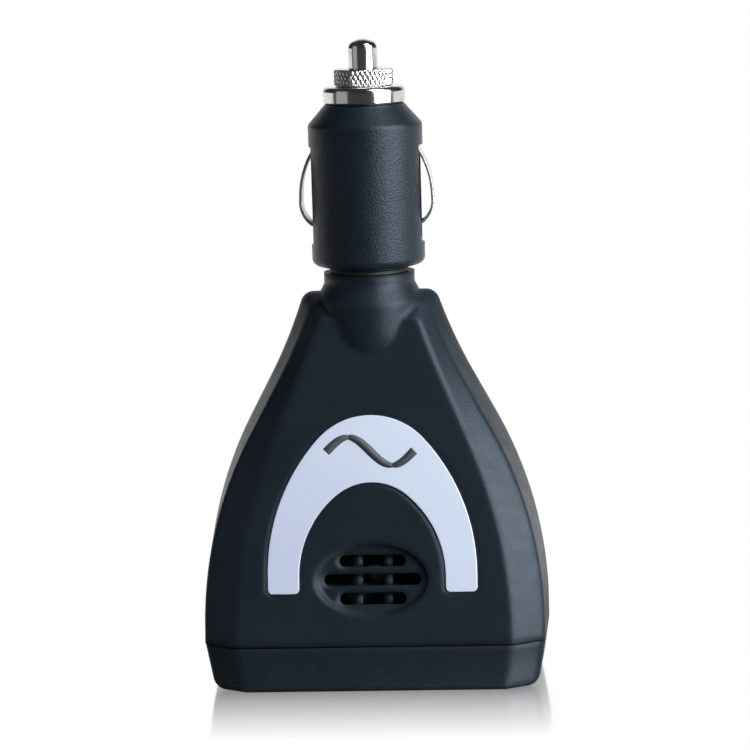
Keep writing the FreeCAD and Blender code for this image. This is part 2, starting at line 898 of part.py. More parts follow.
def cap_tray():
    """The end cap's rounded tray."""
    top = size("seam_height") - size("seam_gap")
    form = cap_form(0, top, 0)
    upright = [edge for edge in form.Edges if climb(edge) > 1 and abs(edge.Vertexes[0].Y) > 1]
    form = form.makeFillet(size("cap_corner"), upright)
    foot = [edge for edge in form.Edges if max(v.Z for v in edge.Vertexes) < 0.01]
    outer = shaped("cap_outer", form.makeFillet(size("cap_round"), foot))
    hollow = shaped("cap_hollow", cap_form(size("wall"), 2 * top, size("wall")))
    return cut("cap_tray", outer, hollow)


def make_end_cap():
    """End cap: a tray with a lip, two ears for the lower screws and the outlet's window."""
    lip_outset = size("wall") + size("lip_gap")
    lip_inset = lip_outset + size("cap_lip_wall")
    lip = cut("cap_lip", shaped("lip_outer", lip_form(lip_outset)),
              shaped("lip_inner", lip_form(lip_inset)))
    seat = shaped("lip_seat", plan_ring(lip_inset, size("wall") - size("seat_bite")))
    ears = [block(f"ear_{name}",
                  (f"{side} * screw_lower_x - ear_reach", "-ear_half", "wall / 2"),
                  (f"{side} * screw_lower_x + ear_reach", "ear_half", "ear_top"))
            for name, side in SIDES]
    ear_holes = [rod(f"ear_hole_{name}", "screw_radius + shank_gap",
                     (f"{side} * screw_lower_x", "-2 * ear_half", "screw_lower_height"),
                     "4 * ear_half", "y")
                 for name, side in SIDES]
    window = block("outlet_window",
                   ("-outlet_half_x + window_in", "-outlet_half_y + window_in", "-wall"),
                   ("outlet_half_x - window_in", "outlet_half_y - window_in", "2 * wall"))
    led_hole = rod("led_hole", "led_radius + led_gap", ("led_x", "led_y", "-wall"), "3 * wall")
    filled = join("cap_filled", cap_tray(), seat, lip, *ears)
    return finish(cut("end_cap", filled, window, led_hole, *ear_holes), "end_cap")


def lip_form(inset):
    """A block inside the shells' walls, from the lip's seat up to the lip's top."""
    low = plan_outline(size("seam_height") - size("seat_depth"), inset)
    high = plan_outline(size("cap_lip_height"), inset + size("lip_draft"))
    return Part.makeLoft([low, high], True, True)


def plan_ring(inner, outer):
    """A flat ring that ties the lip to the tray's wall."""
    top = size("seam_height") - size("seam_gap")
    bottom = top - size("seat_depth")
    ring = Part.makeLoft([plan_outline(bottom, outer), plan_outline(top, outer)], True, True)
    hole = Part.makeLoft([plan_outline(bottom - 1, inner), plan_outline(top + 1, inner)],
                         True, True)
    return ring.cut(hole)


# ---------------------------------------------------------------- housing trim and fasteners

def make_label():
    """The arch label plate, seated in its recess."""
    thickness = size("label_thickness")
    plate = arch_solid("label_plate", 0, "label_recess", thickness)
    return finish(plate, "label_plate")


def cross_head_screw(name, head_radius, head_length, shank_radius, shank_length, at):
    """A pan head screw pointing along -Y with a cross recess in its head."""
    x, y, z = at
    head = rod(name + "_head", head_radius, (x, y, z), head_length, "y")
    shank = rod(name + "_shank", shank_radius, (x, f"({y}) - ({shank_length})", z),
                shank_length, "y")
    drive = f"({head_radius}) * drive_reach"
    groove = f"({head_radius}) * drive_groove"
    floor = f"({y}) + ({head_length}) * drive_floor"
    above = f"({y}) + 2 * ({head_length})"
    across = block(name + "_groove_x", (f"({x}) - {drive}", floor, f"({z}) - {groove}"),
                   (f"({x}) + {drive}", above, f"({z}) + {groove}"))
    upright = block(name + "_groove_z", (f"({x}) - {groove}", floor, f"({z}) - {drive}"),
                    (f"({x}) + {groove}", above, f"({z}) + {drive}"))
    return cut(name, join(name + "_blank", head, shank), across, upright)


def make_housing_screws():
    """Four screws that clamp the shells, the lower pair through the end cap's ears."""
    screws = [
        cross_head_screw(
            on_side(f"housing_screw_{which}", side),
            "screw_head_radius", "screw_head_length", "screw_radius",
            "screw_seat + screw_reach",
            (f"{side} * screw_{which}_x", "screw_seat", f"screw_{which}_height"))
        for side, which in SCREW_PLACES
    ]
    return finish(group("housing_screws", screws), "housing_screws")


# ---------------------------------------------------------------- outlet

def make_outlet_insert():
    """Moulded outlet block with two blade slots, an earth hole and pockets for contacts."""
    face = block("outlet_boss", ("-outlet_half_x + boss_in", "-outlet_half_y + boss_in",
                                 "outlet_face"),
                 ("outlet_half_x - boss_in", "outlet_half_y - boss_in", "outlet_body_bottom"))
    flange = block("outlet_flange",
                   ("-outlet_half_x - outlet_flange_reach",
                    "-outlet_half_y - outlet_flange_reach", "wall + seat_gap"),
                   ("outlet_half_x + outlet_flange_reach",
                    "outlet_half_y + outlet_flange_reach", "outlet_flange_top"))
    body = block("outlet_body", ("-outlet_half_x", "-outlet_half_y", "outlet_body_bottom"),
                 ("outlet_half_x", "outlet_half_y", "outlet_top"))
    tools = []
    for name, side, slot in (("live", 1, "live_slot"), ("neutral", -1, "neutral_slot")):
        tools.append(block(
            f"{name}_slot",
            (f"{side} * blade_x - blade_slot_wide / 2", f"blade_y - {slot} / 2", 0),
            (f"{side} * blade_x + blade_slot_wide / 2", f"blade_y + {slot} / 2", "clip_top")))
        tools.append(block(
            f"{name}_pocket",
            (f"{side} * blade_x - pocket_half_x", "blade_y - pocket_half_y", "pocket_floor"),
            (f"{side} * blade_x + pocket_half_x", "blade_y + pocket_half_y", "beyond")))
    tools.append(rod("earth_hole", "earth_hole_radius", (0, "earth_y", 0), "clip_top"))
    tools.append(rod("earth_pocket", "earth_hole_radius + contact_wall + earth_gap",
                     (0, "earth_y", "pocket_floor"), "beyond"))
    blank = join("outlet_blank", face, flange, body)
    return finish(cut("outlet_insert", blank, *tools), "outlet_insert")


def solder_tab(label, x, y):
    """The flat tab that stands up from a contact."""
    return block(label + "_tab", (f"{x} - tab_half_width", f"{y} - tab_half_thick", "tab_bottom"),
                 (f"{x} + tab_half_width", f"{y} + tab_half_thick", "tab_top"))


def make_blade_contact(label, side):
    """A brass clip: two leaves joined over the top, with a solder tab."""
    x = f"{side} * blade_x"
    shell = block(label + "_shell", (f"{x} - clip_half_x", "blade_y - clip_half_y", "clip_bottom"),
                  (f"{x} + clip_half_x", "blade_y + clip_half_y", "clip_top"))
    throat = block(label + "_throat",
                   (f"{x} - clip_half_x + contact_wall", "blade_y - 2 * clip_half_y", 0),
                   (f"{x} + clip_half_x - contact_wall", "blade_y + 2 * clip_half_y",
                    "clip_top - contact_wall"))
    clip = cut(label + "_clip", shell, throat)
    return finish(join(label, clip, solder_tab(label, x, "blade_y")), label)


def make_earth_contact():
    """A brass sleeve for the round earth pin, with a solder tab bridging its top."""
    outer = rod("earth_outer", "earth_hole_radius + contact_wall", (0, "earth_y", "clip_bottom"),
                "earth_sleeve_length")
    inner = rod("earth_inner", "earth_hole_radius", (0, "earth_y", "pocket_floor"),
                "earth_sleeve_length")
    sleeve = cut("earth_sleeve", outer, inner)
    return finish(join("earth_contact", sleeve, solder_tab("earth", "0", "earth_y")),
                  "earth_contact")


def make_status_led():
    """A round LED that shows in the base beside the outlet."""
    lens = rod("led_lens", "led_radius", ("led_x", "led_y", "led_bottom"), "led_length")
    rim = rod("led_rim", "led_radius + led_rim", ("led_x", "led_y", "wall + seat_gap"),
              "led_rim_height")
    return finish(join("status_led", lens, rim), "status_led")


# ---------------------------------------------------------------- circuit board

def make_circuit_board():
    """The board, tapered to follow the shells."""
    board = padded(
        "circuit_board_blank", "XZ_Plane", "board_thickness",
        [
            ("-board_half_bottom", "board_bottom"),
            ("board_half_bottom", "board_bottom"),
            ("board_half_bottom", "board_shoulder"),
            ("board_half_top", "board_top"),
            ("-board_half_top", "board_top"),
            ("-board_half_bottom", "board_shoulder"),
        ])
    place(board, (0, "board_front + board_thickness", 0))
    return finish(board, "circuit_board")


def make_transformer_core():
    """A ferrite core with a window on each side of its middle leg."""
    front = "core_back - core_depth"
    outer = block("core_blank", ("-core_width / 2", front, "core_bottom"),
                  ("core_width / 2", "core_back", "core_bottom + core_height"))
    windows = []
    for name, side in SIDES:
        low, high = span(side, "core_leg / 2", "core_leg / 2 + core_window")
        windows.append(block(
            f"core_window_{name}", (low, f"{front} - 1", "core_bottom + core_yoke"),
            (high, "core_back + 1", "core_bottom + core_height - core_yoke")))
    finish(cut("transformer_core", outer, *windows), "transformer_core")


def make_transformer_coil():
    """The bobbin on the core's middle leg and the copper winding round it."""
    front = "core_back - core_depth"
    low = "core_bottom + core_yoke + bobbin_gap"
    high = "core_bottom + core_height - core_yoke - bobbin_gap"
    leg = "core_leg / 2 + bobbin_gap"
    edge = "core_leg / 2 + core_window"
    tube = block("bobbin_tube",
                 (f"-({leg}) - bobbin_wall", f"{front} - bobbin_gap - bobbin_wall", low),
                 (f"{leg} + bobbin_wall", "core_back + bobbin_gap + bobbin_wall", high))
    flanges = [
        block(f"bobbin_{name}", (f"-({edge}) + bobbin_gap", f"{front} - flange_reach", start),
              (f"{edge} - bobbin_gap", "board_front - seat_gap", end))
        for name, start, end in (
            ("bottom", low, f"{low} + bobbin_flange"),
            ("top", f"{high} - bobbin_flange", high))
    ]
    leg_room = block("bobbin_leg_room", (f"-({leg})", f"{front} - bobbin_gap", "core_bottom"),
                     (leg, "core_back + bobbin_gap", "core_bottom + core_height"))
    finish(cut("transformer_bobbin", join("bobbin_blank", tube, *flanges), leg_room),
           "transformer_bobbin")

    coil = block("coil_blank",
                 (f"-({edge}) + coil_side_gap", f"{front} - coil_reach",
                  f"{low} + bobbin_flange + seat_gap"),
                 (f"{edge} - coil_side_gap", "core_back + coil_reach",
                  f"{high} - bobbin_flange - seat_gap"))
    coil_room = block("coil_room",
                      (f"-({leg}) - bobbin_wall - seat_gap",
                       f"{front} - bobbin_gap - bobbin_wall - seat_gap", "core_bottom"),
                      (f"{leg} + bobbin_wall + seat_gap",
                       "core_back + bobbin_gap + bobbin_wall + seat_gap",
                       "core_bottom + core_height"))
    finish(cut("transformer_winding", coil, coil_room), "transformer_winding")


def make_power_stage():
    """Heat sink with three fins, and two power transistors against it."""
    face = "board_front - sink_plate"
    plate = block("sink_plate_block", ("-sink_half_width", face, "sink_bottom"),
                  ("sink_half_width", "board_front", "sink_top"))
    fins = [block(f"sink_fin_{index}",
                  (f"{step} * fin_pitch - fin_thickness / 2", f"{face} - fin_depth",
                   "sink_bottom"),
                  (f"{step} * fin_pitch + fin_thickness / 2", "board_front - sink_plate / 2",
                   "sink_top"))
            for index, step in enumerate((-1, 0, 1))]
    finish(join("heat_sink", plate, *fins), "heat_sink")

    transistors = []
    for name, side in SIDES:
        low = f"{side} * transistor_x - transistor_half"
        high = f"{side} * transistor_x + transistor_half"
        tab_face = f"{face} - transistor_tab"
        body = block(f"transistor_body_{name}",
                     (low, f"{tab_face} - transistor_depth", "sink_bottom"),
                     (high, tab_face, "sink_bottom + transistor_height"))
        tab = block(f"transistor_tab_{name}", (low, tab_face, "sink_bottom"),
                    (high, face, "sink_top - transistor_tab / 2"))
        transistors.append(join(f"transistor_{name}", body, tab))
    finish(group("power_transistors", transistors), "power_transistors")


def capacitor(name, radius, x, z, length):
    """A can standing on the board, with a crimped waist near its foot."""
    can = rod(name + "_can", radius, (x, f"board_front - {length}", z), length, "y")
    waist = doc.addObject("Part::Torus", name + "_waist")
    waist.setExpression("Radius1", formula(f"{radius} + can_waist_out"))
    waist.setExpression("Radius2", formula("can_waist_round"))
    place(waist, (x, "board_front - can_waist_up", z), ALONG["y"])
    return cut(name, can, waist)


def make_capacitors():
    """Two input cans on the left and one output can on the right."""
    inputs = [capacitor(f"input_can_{index}", "input_can_radius", "input_can_x",
                        f"input_can_height + {index} * input_can_pitch", "input_can_length")
              for index in (0, 1)]
    finish(group("input_capacitors", inputs), "input_capacitors")
    finish(capacitor("output_capacitor", "output_can_radius", "output_can_x",
                     "output_can_height", "output_can_length"), "output_capacitor")


def make_control_chip():
    """The controller: a dual in-line package with eight legs."""
    body = block("chip_body",
                 ("chip_left", "board_front - chip_depth", "chip_bottom"),
                 ("chip_left + chip_width", "board_front - chip_standoff",
                  "chip_bottom + chip_height"))
    legs = [
        block(f"chip_leg_{side}_{index}",
              (x, "board_front - chip_leg_height",
               f"chip_bottom + chip_leg_width + {index} * chip_leg_pitch"),
              (f"{x} + chip_leg_out", "board_front",
               f"chip_bottom + 2 * chip_leg_width + {index} * chip_leg_pitch"))
        for side, x in (
            ("inner", "chip_left - chip_leg_out / 2"),
            ("outer", "chip_left + chip_width - chip_leg_out / 2"))
        for index in range(4)
    ]
    finish(join("control_chip", body, *legs), "control_chip")


# ---------------------------------------------------------------- leads

def bent_tube(name, points, radius, bend):
    """A round lead along straight runs joined by tangent arcs."""
    points = [Vector(*p) for p in points]
    edges = []
    start = points[0]
    for before, corner, after in zip(points, points[1:], points[2:]):
        incoming = (corner - before).normalize()
        outgoing = (after - corner).normalize()
        turn = incoming.getAngle(outgoing)
        trim = bend * tan(turn / 2)
        arc_start = corner - incoming * trim
        arc_end = corner + outgoing * trim
        inward = (outgoing - incoming).normalize()
        centre = corner + inward * (bend / cos(turn / 2))
        edges.append(Part.makeLine(start, arc_start))
        edges.append(Part.Arc(arc_start, centre - inward * bend, arc_end).toShape())
        start = arc_end
    edges.append(Part.makeLine(start, points[-1]))
    path = Part.Wire(edges)
    ring = Part.Wire([Part.makeCircle(radius, points[0], points[1] - points[0])])
    return shaped(name, path.makePipeShell([ring], True, True))


def make_leads():
    """Supply leads from the board up the neck, and outlet leads down from the board."""
    board = size("board_front")
    high = size("rear_contact_bottom") - size("lead_top_gap")
    landing = size("lead_landing")
    for label, side in (("positive_lead", 1), ("negative_lead", -1)):
        x = side * size("lead_x")
        route = [(x, 0, high), (x, 0, landing), (x, board, landing)]
        finish(bent_tube(label + "_tube", route, size("lead_radius"), size("lead_bend")), label)

    blade_x, blade_y = size("blade_x"), size("blade_y")
    start = size("outlet_lead_start")
    turn = size("board_bottom") + size("outlet_lead_rise")
    tubes = []
    for index, (x, contact_y) in enumerate((
            (blade_x, blade_y), (-blade_x, blade_y), (0, size("earth_y")))):
        y = contact_y + size("outlet_lead_behind")
        route = [(x, y, start), (x, y, turn), (x, board, turn)]
        tubes.append(bent_tube(f"outlet_lead_{index}", route, size("outlet_lead_radius"),
                               size("outlet_lead_bend")))
    finish(group("outlet_leads", tubes), "outlet_leads")


# ---------------------------------------------------------------- plug

def plug_profile():
    """The whole plug barrel in section, and the ring-shaped cavity round the fuse sleeve.

    The barrel widens by its draft up to the guide band, which is what fits the socket.
    """
    outside = [
        ("spigot_bore", "spigot_bottom"),
        ("spigot_radius", "spigot_bottom"),
        ("spigot_radius", "flange_bottom"),
        ("flange_radius", "flange_bottom"),
        ("flange_radius", "flange_top"),
        ("spigot_radius", "flange_top"),
        ("spigot_radius", "hub_height"),
        ("hub_radius", "hub_height"),
        ("hub_radius", "plug_bottom"),
        ("barrel_radius - barrel_draft - plug_round", "plug_bottom", "plug_round"),
        ("barrel_radius - barrel_draft", "plug_bottom + plug_round"),
        ("barrel_radius", "band_bottom"),
        ("barrel_radius", "band_top", "shoulder_round"),
        ("barrel_radius - shoulder_in", "plug_shoulder"),
        ("plug_top_radius", "plug_top"),
        ("bushing_spigot + seat_gap", "plug_top"),
        ("bushing_spigot + seat_gap", "bushing_bottom"),
        ("sleeve_bore", "bushing_bottom"),
        ("sleeve_bore", "rear_contact_top + seat_gap"),
        ("spigot_bore + 2 * rear_contact_bite", "rear_contact_top + seat_gap"),
        ("spigot_bore + 2 * rear_contact_bite", "rear_contact_bottom - seat_gap"),
        ("spigot_bore", "rear_contact_bottom - seat_gap"),
    ]
    cavity = [
        ("sleeve_radius", "cavity_bottom"),
        ("cavity_radius", "cavity_bottom"),
        ("cavity_radius", "cavity_top"),
        ("sleeve_radius", "cavity_top"),
    ]
    return outside, cavity


def contact_channels():
    """Cutters for the side contacts: a shallow channel and a window through its floor."""
    tools = []
    for name, side in SIDES:
        low, high = span(side, "channel_floor", "barrel_radius + wall")
        tools.append(block(f"channel_{name}", (low, "-channel_half", "channel_bottom"),
                           (high, "channel_half", "channel_top")))
        low, high = span(side, "sleeve_radius + wall", "channel_floor + seat_gap")
        tools.append(block(f"window_{name}", (low, "-window_half", "window_bottom"),
                           (high, "window_half", "window_top")))
    return tools


def plug_bores(name, radius, start, length):
    """Two cylinders along Y on the plug screws' axes."""
    return [rod(on_side(name, side), radius,
                (f"{side} * plug_screw_x", start, "plug_screw_height"), length, "y")
            for _, side in SIDES]


def make_plug_halves():
    """The barrel split on the plane of its two side contacts, and its two screws."""
    barrel = turned("plug_barrel", *plug_profile())
    open_barrel = cut("plug_open", barrel, *contact_channels())
    pilots = plug_bores("plug_pilot", "plug_screw_radius + thread_gap",
                        "-plug_screw_reach - pilot_spare", "plug_screw_reach + wall")
    heads = plug_bores("plug_head_hole", "plug_screw_head + head_gap", "plug_screw_seat",
                       "beyond")
    shanks = plug_bores("plug_shank_hole", "plug_screw_radius + shank_gap", 0,
                        "plug_screw_seat + 1")
    behind = block("plug_behind", ("-beyond", "-split_gap / 2", 0),
                   ("beyond", "beyond", "2 * beyond"))
    ahead = block("plug_ahead", ("-beyond", "-beyond", 0),
                  ("beyond", "split_gap / 2", "2 * beyond"))
    finish(cut("plug_front_half", open_barrel, behind, *pilots), "plug_front_half")
    finish(cut("plug_back_half", open_barrel, ahead, *heads, *shanks), "plug_back_half")
    screws = [
        cross_head_screw(on_side("plug_screw", side), "plug_screw_head",
                         "plug_screw_head_length", "plug_screw_radius",
                         "plug_screw_seat + plug_screw_reach",
                         (f"{side} * plug_screw_x", "plug_screw_seat", "plug_screw_height"))
        for _, side in SIDES
    ]
    finish(group("plug_screws", screws), "plug_screws")


def make_swivel_washer():
    """A flat washer between the collar and the plug's hub."""
    finish(turned("swivel_washer_ring", [
        ("spigot_radius + washer_gap", "collar_top + seat_gap"),
        ("hub_radius", "collar_top + seat_gap"),
        ("hub_radius", "hub_height - seat_gap"),
        ("spigot_radius + washer_gap", "hub_height - seat_gap"),
    ]), "swivel_washer")


def make_nose_bushing():
    """The polished ring on the plug's nose, with its threaded sleeve."""
    finish(turned("nose_bushing_ring", [
        ("bushing_bore", "bushing_bottom + seat_gap"),
        ("bushing_spigot", "bushing_bottom + seat_gap"),
        ("bushing_spigot", "plug_top + bushing_lift"),
        ("bushing_radius - bushing_bevel", "plug_top + bushing_lift"),
        ("bushing_radius", "plug_top + bushing_lift + bushing_bevel"),
        ("bushing_radius", "bushing_top - bushing_round", "bushing_round"),
        ("bushing_radius - bushing_round", "bushing_top"),
        ("bushing_bore", "bushing_top"),
    ]), "nose_bushing")


def make_nose_cap():
    """The knurled cap that unscrews to free the fuse."""
    finish(turned("knurled_cap_ring", [
        ("cap_bore", "cap_step"),
        ("cap_counterbore", "cap_step"),
        ("cap_counterbore", "cap_skirt_bottom"),
        ("cap_thread", "cap_skirt_bottom"),
        ("cap_thread", "bushing_top + seat_gap"),
        ("cap_radius - cap_bevel", "bushing_top + seat_gap"),
        ("cap_radius", "bushing_top + seat_gap + cap_bevel"),
        ("cap_radius", "cap_top - cap_bevel"),
        ("cap_radius - cap_bevel", "cap_top"),
        ("cap_bore", "cap_top"),
    ]), "knurled_cap")


def make_contact_pin():
    """The sprung centre pin: domed tip, retaining flange and stem.

    The dome is centred on the axis and meets the rounded rim 60 degrees up both arcs.
    """
    dome_drop = "pin_dome * (1 - sqrt(3) / 2)"
    flange_bottom = "pin_flange_top - pin_flange_height"
    finish(turned("contact_pin_body", [
        (0, "pin_foot"),
        ("pin_stem_radius", "pin_foot"),
        ("pin_stem_radius", flange_bottom),
        ("pin_flange_radius", flange_bottom),
        ("pin_flange_radius", "pin_flange_top"),
        ("pin_radius", "pin_flange_top"),
        ("pin_radius", f"pin_top - {dome_drop} - pin_rim * sqrt(3) / 2", "pin_rim"),
        ("pin_dome / 2", f"pin_top - {dome_drop}", "pin_dome"),
        (0, "pin_top"),
    ]), "contact_pin")


def fuse_cap(name, end, inward):
    """One end cap of the fuse, from its flat end inward: +1 up the axis or -1 down it."""
    mouth = f"{end} + {inward} * fuse_cap_length"
    floor = f"{end} + {inward} * fuse_cap_floor"
    low, high = (end, mouth) if inward > 0 else (mouth, end)
    room_low, room_high = (floor, mouth) if inward > 0 else (mouth, floor)
    can = rod(f"fuse_can_{name}", "fuse_radius", (0, 0, low), f"({high}) - ({low})")
    room = rod(f"fuse_room_{name}", "fuse_radius - fuse_cap_wall", (0, 0, room_low),
               f"({room_high}) - ({room_low})")
    return cut(f"fuse_cap_{name}", can, room)


def make_fuse():
    """A 5 by 20 mm glass fuse: tube, end caps and the wire between them."""
    top = "pin_foot - fuse_gap"
    bottom = "pin_foot - fuse_gap - fuse_length"
    caps = [fuse_cap("top", top, -1), fuse_cap("bottom", bottom, 1)]
    finish(group("fuse_end_caps", caps), "fuse_end_caps")
    inner = "fuse_radius - fuse_cap_wall - fuse_gap - fuse_glass"
    outer = "fuse_radius - fuse_cap_wall - fuse_gap"
    low = f"{bottom} + fuse_cap_floor + fuse_gap"
    high = f"{top} - fuse_cap_floor - fuse_gap"
    finish(turned("fuse_glass_tube", [(inner, low), (outer, low), (outer, high), (inner, high)]),
           "fuse_tube")
    finish(rod("fuse_wire_rod", "fuse_wire_radius", (0, 0, low), f"({high}) - ({low})"),
           "fuse_wire")


def make_fuse_spring():
    """The coil spring under the fuse, which pushes the pin out."""
    end_room = size("spring_wire") + size("fuse_gap")
    low = size("rear_contact_top") + end_room
    high = number("pin_foot - fuse_gap - fuse_length") - end_room
    radius = size("spring_radius")
    coil = Part.makeHelix((high - low) / size("spring_turns"), high - low, radius)
    wire = Part.Wire([Part.makeCircle(size("spring_wire"), Vector(radius, 0, 0),
                                      Vector(0, 1, 0))])
    spring = Part.Wire(coil.Edges).makePipeShell([wire], True, True)
    spring.translate(Vector(0, 0, low))
    finish(shaped("fuse_spring_coil", spring), "fuse_spring")


def make_rear_contact():
    """The brass disc behind the spring, held in a groove of the barrel."""
    finish(turned("rear_contact_disc", [
        (0, "rear_contact_bottom"),
        ("spigot_bore + rear_contact_bite", "rear_contact_bottom"),
        ("spigot_bore + rear_contact_bite", "rear_contact_top"),
        (0, "rear_contact_top"),
    ]), "rear_contact")


def strip_point(name, side):
    """A named point along a side contact's centre line."""
    return Vector(side * size(f"strip_{name}_out"), 0, size(f"strip_{name}_up"))


def strip_arc(names, side):
    """The arc through three named points of a side contact."""
    return Part.Arc(*(strip_point(name, side) for name in names)).toShape()


def make_side_contacts():
    """Two bowed spring strips, anchored at the top of their channels."""
    half = size("strip_half_width")
    for label, side in (("side_contact_left", -1), ("side_contact_right", 1)):
        centre_line = Part.Wire([
            Part.makeLine(strip_point("anchor", side), strip_point("elbow", side)),
            strip_arc(("elbow", "elbow_middle", "bow_start"), side),
            strip_arc(("bow_start", "bow_upper", "crest"), side),
            strip_arc(("crest", "bow_lower", "bow_end"), side),
            Part.makeLine(strip_point("bow_end", side), strip_point("tail", side)),
        ])
        flat = centre_line.makeOffset2D(size("strip_thickness") / 2, 0, True, False, False)
        strip = flat.extrude(Vector(0, 2 * half, 0))
        strip.translate(Vector(0, -half, 0))
        finish(shaped(label + "_strip", strip), label)


# ---------------------------------------------------------------- build and write

def build():
    """Makes every sub-part."""
    neck = neck_form()
    make_front_shell(neck)
    make_back_shell(neck)
    make_end_cap()
    make_label()
    make_housing_screws()
    make_outlet_insert()
    make_blade_contact("live_contact", 1)
    make_blade_contact("neutral_contact", -1)
    make_earth_contact()
    make_status_led()
    make_circuit_board()
    make_transformer_core()
    make_transformer_coil()
    make_power_stage()
    make_capacitors()
    make_control_chip()
    make_leads()
    make_plug_halves()
    make_swivel_washer()
    make_nose_bushing()
    make_nose_cap()
    make_contact_pin()
    make_fuse()
    make_fuse_spring()
    make_rear_contact()
    make_side_contacts()
    doc.recompute()


def check():
    """Stops if any object failed to build."""
    for thing in doc.Objects:
        if {"Invalid", "Error"} & set(thing.State):
            raise RuntimeError(f"{thing.Name} ({thing.Label}) failed: {thing.State}")
    for thing in FINISHED:
        shape = thing.Shape
        if shape.isNull() or not shape.isValid() or not shape.Solids:
            raise RuntimeError(f"{thing.Label} has no valid solid")


def write():
    """Writes one STEP file for each sub-part."""
    os.makedirs("parts", exist_ok=True)
    for thing in FINISHED:
        thing.Shape.exportStep(f"parts/{thing.Label}.step")
        print(f"{thing.Label:24s} {len(thing.Shape.Solids)} solids {thing.Shape.Volume:10.1f} mm3")


build()
check()
write()
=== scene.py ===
"""Looks of a plug-in power inverter: materials, fine detail, studio light and the camera.

Metres, in the CAD's own frame: +Z up the plug's axis, the vented front face towards -Y.
"""

import json
from math import cos, radians, sin, tau

import bmesh
import bpy
from mathutils import Matrix, Vector

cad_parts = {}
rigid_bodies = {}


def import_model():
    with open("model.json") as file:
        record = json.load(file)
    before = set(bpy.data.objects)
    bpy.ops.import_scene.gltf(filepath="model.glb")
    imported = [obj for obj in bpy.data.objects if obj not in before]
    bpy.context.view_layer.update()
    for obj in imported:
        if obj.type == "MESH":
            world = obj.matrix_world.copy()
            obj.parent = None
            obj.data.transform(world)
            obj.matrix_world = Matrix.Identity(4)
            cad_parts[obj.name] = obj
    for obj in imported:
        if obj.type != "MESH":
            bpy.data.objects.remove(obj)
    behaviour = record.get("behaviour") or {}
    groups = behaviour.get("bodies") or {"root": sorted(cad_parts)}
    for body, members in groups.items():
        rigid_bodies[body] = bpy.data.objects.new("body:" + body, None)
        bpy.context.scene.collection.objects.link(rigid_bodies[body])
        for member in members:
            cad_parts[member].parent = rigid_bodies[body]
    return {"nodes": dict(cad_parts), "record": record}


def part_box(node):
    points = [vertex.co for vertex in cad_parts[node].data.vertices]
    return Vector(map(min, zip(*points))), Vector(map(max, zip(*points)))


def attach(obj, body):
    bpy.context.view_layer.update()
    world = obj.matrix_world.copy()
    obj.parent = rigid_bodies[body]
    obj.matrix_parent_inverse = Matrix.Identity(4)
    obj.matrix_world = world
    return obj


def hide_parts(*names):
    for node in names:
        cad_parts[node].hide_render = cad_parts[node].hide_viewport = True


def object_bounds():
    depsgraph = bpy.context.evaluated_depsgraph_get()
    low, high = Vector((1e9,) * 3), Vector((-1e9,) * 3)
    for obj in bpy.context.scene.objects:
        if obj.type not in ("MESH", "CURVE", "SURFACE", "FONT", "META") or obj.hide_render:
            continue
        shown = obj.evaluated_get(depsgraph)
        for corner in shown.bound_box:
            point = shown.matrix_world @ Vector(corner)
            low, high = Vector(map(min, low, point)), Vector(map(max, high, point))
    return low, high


MM = 0.001

for leftover in list(bpy.data.objects):
    bpy.data.objects.remove(leftover)

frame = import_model()
CAD_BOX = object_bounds()
NODES = frame["nodes"]
LOW, HIGH = (Vector(corner) for corner in CAD_BOX)
FACE_LEAN = radians(12.2)
FACE_NORMAL = Vector((0, -cos(FACE_LEAN), sin(FACE_LEAN)))


# ---------------------------------------------------------------- shader building

